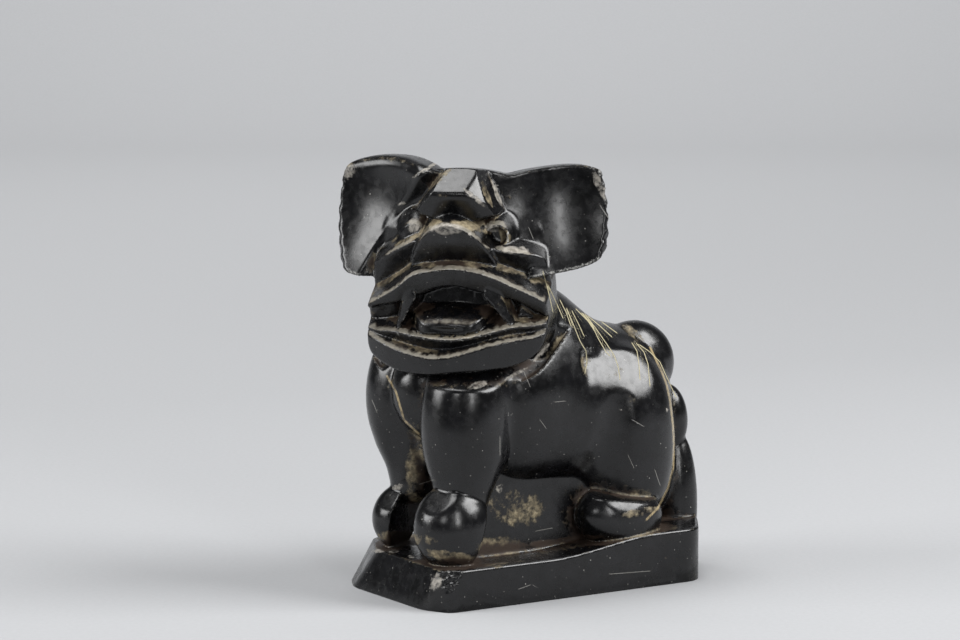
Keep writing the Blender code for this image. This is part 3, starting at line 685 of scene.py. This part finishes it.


# Fine relief and wear, worked out for the whole mesh at once and kept as attributes
# that the stone's finish reads: dust in the hollows, rubbed edges, graver lines, and where
# the finish paints highlights on the face's upward ledges and paints shade in the deepest recesses.
def settle(mesh, reach=0.12):
    """Move each place onto the exact form, along the form's own slope, by no more than reach."""
    places, normals = mesh_arrays(mesh)
    p = to_carver(places)
    here = figure(p)
    step_size = 0.03
    slope = np.stack([figure(p + step_size * axis) - here for axis in np.eye(3)], 1) / step_size
    steep = np.maximum((slope**2).sum(1), 0.25)
    move = -here[:, None] * slope / steep[:, None]
    length = np.linalg.norm(move, axis=1)
    move *= np.minimum(1.0, reach / np.maximum(length, 1e-9))[:, None]
    move[places[:, 2] < 0.5 * MM, 2] = 0.0
    places = places + MM * move
    mesh.vertices.foreach_set("co", places.ravel())
    mesh.update()


def store(mesh, name, values):
    """Keep an array on the mesh for the finish to read."""
    mesh.attributes.new(name, "FLOAT", "POINT").data.foreach_set("value", values.astype(np.float32))


settle(carving.data)
places, normals = mesh_arrays(carving.data)
p = to_carver(places)
shut = [1.0 - np.clip(figure(p + reach * normals) / reach, 0.0, 1.0) for reach in (0.8, 3.0, 7.0)]
bruised = 1.0 - np.clip(-figure(p - 0.5 * normals) / 0.5, 0.0, 1.0)
seen, toward = photo_place(places)
facing = np.clip(6.0 * (normals @ toward), 0.0, 1.0)
s, f, z = head_frame(p)
carved_front = np.clip(f - 5.5, 0.0, 1.0) * np.clip(51.0 - z, 0.0, 1.0)
carved_front = carved_front * np.clip(-1.5 * jaw(s, z), 0.0, 1.0)
crest = 1.0 - np.clip(-figure(p - 1.3 * normals) / 1.3, 0.0, 1.0)
crest = np.clip(0.25 + 4.0 * (crest - 0.10), 0.25, 1.0)
store(carving.data, "hollow", np.clip(0.5 * shut[0] + 0.8 * shut[1], 0.0, 1.0))
store(carving.data, "deep", np.clip(0.5 * shut[1] + 0.8 * shut[2], 0.0, 1.0))
store(carving.data, "edge", bruised)
store(carving.data, "upward", normals[:, 2])
# Upward-facing ledges of the carved face: their lighter colour is partly dust and partly a painted highlight
# where top light would catch them.
store(carving.data, "ledge", carved_front * crest * np.clip(3.5 * (normals[:, 2] - 0.25), 0.0, 1.0))
for name, spots in (("pale", PALE_AND_HIGHLIT_PLACES), ("dusty", DUSTY_PLACES), ("clean", CLEAN_PLACES)):
    store(carving.data, name, facing * patches(seen, spots))
for name, lines in (("mane", MANE_LINES), ("seam", DUST_LINES), ("scratch", SCRATCHES)):
    across, share = strokes(seen, lines)
    if name == "mane":
        share = share * np.clip(17.0 + p[:, 0], 0.0, 1.0)
    store(carving.data, name, across)
    store(carving.data, name + "_share", share * facing)
carving.data.shade_smooth()


# The finish: black fine-grained stone rubbed to a soft polish, with handling wear and old dust, and some
# painted highlights and painted shade.
# Its patterns keep their real sizes in millimetres, and the kept attributes say where each lies.
def colour(code):
    """An sRGB hex colour as linear values."""
    parts = [int(code[i:i + 2], 16) / 255.0 for i in (0, 2, 4)]
    return [c / 12.92 if c <= 0.04045 else ((c + 0.055) / 1.055) ** 2.4 for c in parts] + [1.0]


def polished_black_stone():
    """Black stone, rubbed with fine grit and oiled: soft bright reflections, tan dust in recesses,
    grey bruised edges; painted highlights on the face's upward ledges and on some pale places,
    and painted shade where the dust turns dark brown in the deepest recesses."""
    finish = bpy.data.materials.new("polished_black_stone")
    finish.use_nodes = True
    tree = finish.node_tree
    shader = tree.nodes["Principled BSDF"]
    where = add_node(tree, "ShaderNodeTexCoord", {}).outputs["Object"]

    def attribute(name):
        return add_node(tree, "ShaderNodeAttribute", {}, attribute_name=name).outputs["Fac"]

    def noise(size_mm, detail, rough=0.5):
        return add_node(tree, "ShaderNodeTexNoise", {
            "Vector": where, "Scale": 1.0 / (size_mm * MM), "Detail": detail,
            "Roughness": rough}).outputs["Fac"]

    def between(value, low, high, to_low=0.0, to_high=1.0):
        return add_node(tree, "ShaderNodeMapRange", {
            "Value": value, "From Min": low, "From Max": high, "To Min": to_low, "To Max": to_high},
            interpolation_type="SMOOTHSTEP").outputs[0]

    def maths(operation, *values):
        return add_node(tree, "ShaderNodeMath", dict(enumerate(values)), operation=operation).outputs[0]

    def mix(share, first, second):
        node = add_node(tree, "ShaderNodeMix", {0: share, 6: first, 7: second}, data_type="RGBA")
        return node.outputs[2]

    def stroke(name, half_width):
        """A drawn line: full within its half width, in photograph pixels."""
        off = maths("ABSOLUTE", attribute(name))
        body = between(off, 0.55 * half_width, half_width, 1.0, 0.0)
        return maths("MULTIPLY", body, attribute(name + "_share"))

    hollow, deep = attribute("hollow"), attribute("deep")
    edge, upward = attribute("edge"), attribute("upward")
    ground = mix(between(noise(3.0, 6.0), 0.35, 0.7), colour("050506"), colour("0f0f11"))
    patchy = noise(0.9, 8.0, 0.65)
    lying = between(upward, -0.3, 0.4, 0.5, 1.0)
    gathered = maths("MULTIPLY", hollow, lying)
    gathered = maths("MULTIPLY_ADD", attribute("dusty"), 0.55, gathered)
    gathered = maths("MULTIPLY_ADD", attribute("clean"), -0.8, gathered)
    gathered = maths("MULTIPLY_ADD", maths("SUBTRACT", patchy, 0.5), 1.3, gathered)
    gathered = maths("MULTIPLY_ADD", maths("SUBTRACT", noise(3.5, 3.0), 0.5), 1.0, gathered)
    dust = maths("MULTIPLY", between(gathered, 0.36, 0.90), 0.9)
    dust_and_shade_colour = mix(between(noise(0.5, 6.0, 0.7), 0.35, 0.65), colour("6d614a"), colour("a39679"))
    # Dust turns dark brown in the deepest recesses: partly packed soil, partly painted shade where those
    # recesses fall dark.
    deepest_soil_and_shade = maths("MULTIPLY_ADD", maths("SUBTRACT", noise(1.3, 6.0), 0.5), 0.8, deep)
    dust_and_shade_colour = mix(between(deepest_soil_and_shade, 0.45, 0.9), dust_and_shade_colour, colour("33251a"))
    base = mix(dust, ground, dust_and_shade_colour)
    grain = noise(0.35, 8.0, 0.7)
    speckled = maths("SUBTRACT", grain, 0.5)
    # Upward ledges of the face, dark brown to grey-beige: partly dust, partly a painted highlight that stands
    # in for the top light.
    ledge = maths("MULTIPLY_ADD", maths("SUBTRACT", patchy, 0.5), 1.5, attribute("ledge"))
    ledge = maths("MULTIPLY", between(ledge, 0.20, 1.20), 0.7)
    base = mix(ledge, base, mix(between(ledge, 0.2, 0.6), colour("4a3e30"), colour("918b7e")))
    # Pale places: chips and rubbed spots, plus painted highlights on the nose's top, the forehead's strips,
    # the collar's rim and the far paw's facet.
    pale = maths("MULTIPLY_ADD", maths("SUBTRACT", noise(0.8, 8.0, 0.7), 0.5), 2.6, attribute("pale"))
    pale = maths("MULTIPLY", between(pale, 0.60, 1.30), 0.7)
    base = mix(pale, base, colour("b3ada3"))
    worn = maths("MULTIPLY_ADD", speckled, 1.2, edge)
    worn = between(worn, 0.42, 0.8)
    base = mix(maths("MULTIPLY", worn, 0.8), base, colour("b9b8b3"))
    flecks = add_node(tree, "ShaderNodeTexVoronoi", {"Vector": where, "Scale": 1.0 / (1.0 * MM)})
    flecks = maths("MULTIPLY", between(flecks.outputs["Distance"], 0.05, 0.13, 1.0, 0.0),
                   between(noise(2.5, 5.0, 0.7), 0.46, 0.64))
    mane, seam, scratch = stroke("mane", 0.5), stroke("seam", 1.3), stroke("scratch", 0.4)
    base = mix(maths("MULTIPLY", seam, between(patchy, 0.25, 0.6)), base, colour("a08f6c"))
    base = mix(maths("MAXIMUM", flecks, maths("MULTIPLY", scratch, 0.6)), base, colour("9c9a94"))
    base = mix(maths("MULTIPLY", mane, 0.9), base, colour("b3aa88"))
    tree.links.new(base, shader.inputs["Base Color"])
    matt = maths("MAXIMUM", maths("MAXIMUM", dust, worn), maths("MAXIMUM", ledge, pale))
    matt = maths("MAXIMUM", matt, mane)
    rough = between(noise(1.2, 7.0), 0.3, 0.75, 0.19, 0.32)
    rough = maths("MULTIPLY_ADD", matt, 0.45, rough)
    tree.links.new(rough, shader.inputs["Roughness"])
    shader.inputs["IOR"].default_value = 1.5
    pits = maths("MULTIPLY", grain, maths("ADD", matt, 0.09))
    pits = maths("MULTIPLY_ADD", maths("MAXIMUM", mane, scratch), -0.6, pits)
    bump = add_node(tree, "ShaderNodeBump", {"Height": pits, "Distance": 0.00012, "Strength": 0.6})
    tree.links.new(bump.outputs[0], shader.inputs["Normal"])
    return finish


carving.data.materials.clear()
carving.data.materials.append(polished_black_stone())
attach(carving, "root")
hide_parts("stone_lion")


# The studio: pale grey paper swept up behind, soft light from above and both sides,
# each lamp set where the photograph's bright reflections on ears, flank and paws ask for it.
def sweep_sheet(half_width=1.2, front=-0.16, back=0.75, rise=1.2, bend=0.45, count=48):
    """A sheet lying flat, bent up through a quarter circle at the back, as one carried profile."""
    turn = np.linspace(0.0, np.pi / 2.0, count)
    y = np.concatenate([[front], back + bend * np.sin(turn), [back + bend]])
    z = np.concatenate([[0.0], bend * (1.0 - np.cos(turn)), [rise]])
    x = np.linspace(-half_width, half_width, 3)
    points = np.stack([np.repeat(x, len(y)), np.tile(y, len(x)), np.tile(z, len(x))], 1)
    i, j = np.meshgrid(np.arange(len(x) - 1), np.arange(len(y) - 1), indexing="ij")
    first = (i * len(y) + j).ravel()
    quads = np.stack([first, first + len(y), first + len(y) + 1, first + 1], 1)
    mesh = bpy.data.meshes.new("paper_sweep")
    mesh.from_pydata(points, [], quads)
    mesh.shade_smooth()
    sheet = bpy.data.objects.new("paper_sweep", mesh)
    sheet.rotation_euler.z = CAMERA_TURN
    bpy.context.scene.collection.objects.link(sheet)
    return sheet


def grey_paper():
    """Matt grey background paper with a faint tooth."""
    finish = bpy.data.materials.new("grey_background_paper")
    finish.use_nodes = True
    tree = finish.node_tree
    shader = tree.nodes["Principled BSDF"]
    where = add_node(tree, "ShaderNodeTexCoord", {}).outputs["Object"]
    tooth = add_node(tree, "ShaderNodeTexNoise", {"Vector": where, "Scale": 1.0 / (0.8 * MM), "Detail": 6.0})
    tint = add_node(tree, "ShaderNodeMix", {
        0: tooth.outputs["Fac"], 6: colour("9fa0a2"), 7: colour("a8a9ab")}, data_type="RGBA")
    tree.links.new(tint.outputs[2], shader.inputs["Base Color"])
    shader.inputs["Roughness"].default_value = 0.9
    bump = add_node(tree, "ShaderNodeBump", {
        "Height": tooth.outputs["Fac"], "Distance": 0.0001, "Strength": 0.3})
    tree.links.new(bump.outputs[0], shader.inputs["Normal"])
    return finish


paper = sweep_sheet()
paper.data.materials.append(grey_paper())


def softbox(name, place, size, power, aim=(0.0, 0.0, 0.035), tall=None):
    """An area light facing the lion, square unless a height is given."""
    light = bpy.data.lights.new(name, "AREA")
    light.shape = "RECTANGLE"
    light.size = size
    light.size_y = tall or size
    light.energy = power
    lamp = bpy.data.objects.new(name, light)
    lamp.location = place
    lamp.rotation_euler = (Vector(aim) - Vector(place)).to_track_quat("-Z", "Y").to_euler()
    bpy.context.scene.collection.objects.link(lamp)


softbox("overhead", (-0.15, 0.12, 0.95), 0.55, 7.0)
softbox("right_side", (0.42, -0.42, 0.52), 0.42, 7.0)
softbox("left_side", (-0.72, 0.22, 0.34), 0.40, 4.4)
softbox("front_left", (-0.55, -0.50, 0.30), 0.15, 0.5)
softbox("front_right", (-0.09, -0.62, 0.25), 0.11, 1.0, tall=0.34)
softbox("backdrop", (0.35, 0.45, 0.80), 0.6, 7.0, aim=(0.50, 1.2, 0.50))

world = bpy.data.worlds.new("studio")
world.use_nodes = True
world.node_tree.nodes["Background"].inputs[0].default_value = colour("c9cbcd")
world.node_tree.nodes["Background"].inputs[1].default_value = 0.12
bpy.context.scene.world = world

camera = bpy.data.cameras.new("photo_view")
camera.lens = CAMERA_LENS
camera.sensor_width = SENSOR_WIDTH
viewer = bpy.data.objects.new("photo_view", camera)
viewer.rotation_euler = (np.pi / 2.0 - CAMERA_RISE, 0.0, CAMERA_TURN)
viewer.location = CAMERA_PLACE
bpy.context.scene.collection.objects.link(viewer)
bpy.context.scene.camera = viewer
bpy.context.scene.view_settings.view_transform = "Standard"
